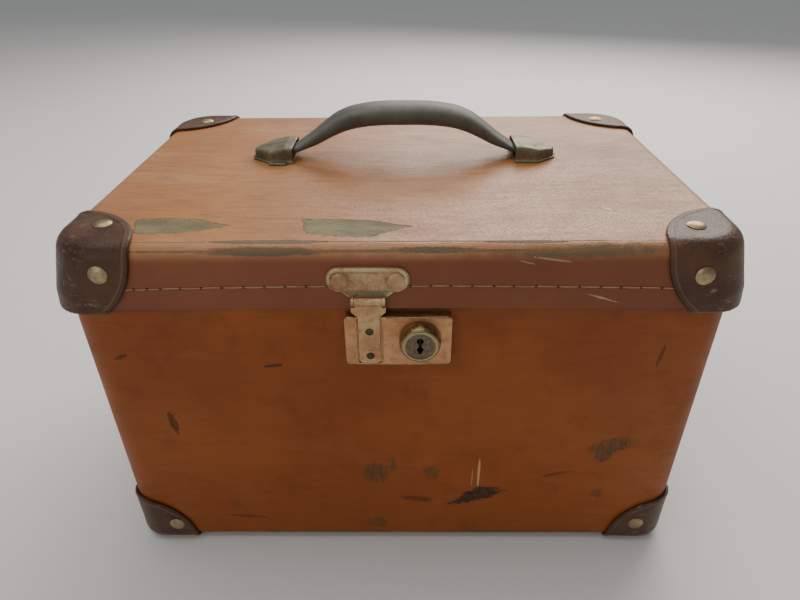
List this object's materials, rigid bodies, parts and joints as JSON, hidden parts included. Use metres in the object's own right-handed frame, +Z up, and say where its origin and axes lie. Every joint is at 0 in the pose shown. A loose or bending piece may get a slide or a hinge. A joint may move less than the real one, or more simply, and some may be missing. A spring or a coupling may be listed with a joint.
{
  "type": "makeup train case",
  "caption": "Rectangular hard cosmetics case with a hinged overlapping lid, arched carry handle, front hasp with sliding key lock, riveted leather corners, lift-out tray and lid mirror.",
  "frame": {"origin": "under the middle of the case, on the plane that its lower corners rest on", "axes": "+Z up, front with the lock towards -Y, +X to the right when facing the front"},
  "size_m": [0.351, 0.2529, 0.2499],
  "materials": {
    "fibre": "tan leathercloth over vulcanised fibre board, worn and scuffed",
    "lining_cloth": "woven lining cloth on paper",
    "corner_leather": "dark brown moulded leather, pale scuffs",
    "rivet_metal": "tarnished nickelled brass",
    "hinge_metal": "tarnished brass plate",
    "lock_brass": "reddish worn brass",
    "hasp_brass": "worn nickelled brass",
    "dark_brass": "dark patinated brass",
    "steel": "plain strip steel",
    "handle_leather": "dark grey leather, smooth and slightly shiny",
    "hood_metal": "olive patinated brass",
    "mirror": "silvered glass",
    "frame_wood": "varnished softwood",
    "tray_board": "paper covered board",
    "tab_leather": "tan leather"
  },
  "bodies": {
    "case": {"body_shell": "fibre", "body_lining": "lining_cloth", "lower_corner_front_left": "corner_leather", "lower_corner_front_right": "corner_leather", "lower_corner_back_left": "corner_leather", "lower_corner_back_right": "corner_leather", "lower_corner_rivets": "rivet_metal", "lower_corner_washers": "rivet_metal", "hinge_body_leaf_left": "hinge_metal", "hinge_body_leaf_right": "hinge_metal", "hinge_pins": "hinge_metal", "hinge_body_rivets": "rivet_metal", "lock_plate": "lock_brass", "lock_back_plate": "steel", "lock_rivets": "rivet_metal", "stay_body_studs": "steel", "stay_body_rivets": "rivet_metal", "tray_ledges": "frame_wood"},
    "lid": {"lid_shell": "fibre", "lid_lining": "lining_cloth", "lid_corner_front_left": "corner_leather", "lid_corner_front_right": "corner_leather", "lid_corner_back_left": "corner_leather", "lid_corner_back_right": "corner_leather", "lid_corner_rivets": "rivet_metal", "lid_corner_washers": "rivet_metal", "hinge_lid_leaf_left": "hinge_metal", "hinge_lid_leaf_right": "hinge_metal", "hinge_lid_rivets": "rivet_metal", "hasp_bracket": "hasp_brass", "hasp_pin": "lock_brass", "hasp_bracket_rivets": "hasp_brass", "handle_hood_left": "hood_metal", "handle_hood_right": "hood_metal", "handle_base_plates": "steel", "handle_posts": "steel", "handle_backing_plates": "steel", "stay_lid_brackets": "steel", "stay_lid_rivets": "rivet_metal", "mirror_frame": "frame_wood", "mirror_glass": "mirror", "mirror_screws": "rivet_metal"},
    "handle": {"handle_grip": "handle_leather", "handle_core": "steel"},
    "hasp": {"hasp_tongue": "lock_brass", "hasp_lug": "lock_brass", "hasp_lug_rivets": "dark_brass"},
    "slide_lock": {"lock_barrel": "dark_brass", "lock_bolt": "lock_brass"},
    "key_barrel": {"lock_plug": "dark_brass", "lock_cam": "lock_brass"},
    "tray": {"tray_base": "tray_board", "tray_walls": "tray_board", "tray_dividers": "tray_board", "tray_lift_tabs": "tab_leather", "tray_tab_rivets": "rivet_metal"},
    "left_stay": {"stay_bar_left": "steel"},
    "right_stay": {"stay_bar_right": "steel"}
  },
  "joints": [
    {"name": "lid_hinge", "type": "hinge", "parent": "case", "child": "lid", "pos_m": [0, 0.1226, 0.1785], "axis": [-1, 0, 0], "range_deg": [0, 100]},
    {"name": "hasp_hinge", "type": "hinge", "parent": "lid", "child": "hasp", "pos_m": [-0.0146, -0.12101, 0.18774], "axis": [-1, 0, 0], "range_deg": [0, 100]},
    {"name": "handle_swing", "type": "hinge", "parent": "lid", "child": "handle", "pos_m": [0.0028, 0.0165, 0.2192], "axis": [1, 0, 0], "range_deg": [-8, 8]},
    {"name": "lock_slide", "type": "slide", "parent": "case", "child": "slide_lock", "axis": [1, 0, 0], "range_m": [-0.0055, 0]},
    {"name": "key_turn", "type": "hinge", "parent": "slide_lock", "child": "key_barrel", "pos_m": [0.011, -0.121, 0.1654], "axis": [0, 1, 0], "range_deg": [0, 90]},
    {"name": "tray_lift", "type": "slide", "parent": "case", "child": "tray", "axis": [0, 0, 1], "range_m": [0, 0.033]},
    {"name": "left_stay_pivot", "type": "hinge", "parent": "lid", "child": "left_stay", "pos_m": [-0.1632, 0.05122, 0.198], "axis": [-1, 0, 0], "range_deg": [-50, 0]},
    {"name": "right_stay_pivot", "type": "hinge", "parent": "lid", "child": "right_stay", "pos_m": [0.1632, 0.05122, 0.198], "axis": [-1, 0, 0], "range_deg": [-50, 0]}
  ],
  "couplings": [
    {"joint": "left_stay_pivot", "follows": "lid_hinge", "ratio": -0.5},
    {"joint": "right_stay_pivot", "follows": "lid_hinge", "ratio": -0.5}
  ]
}
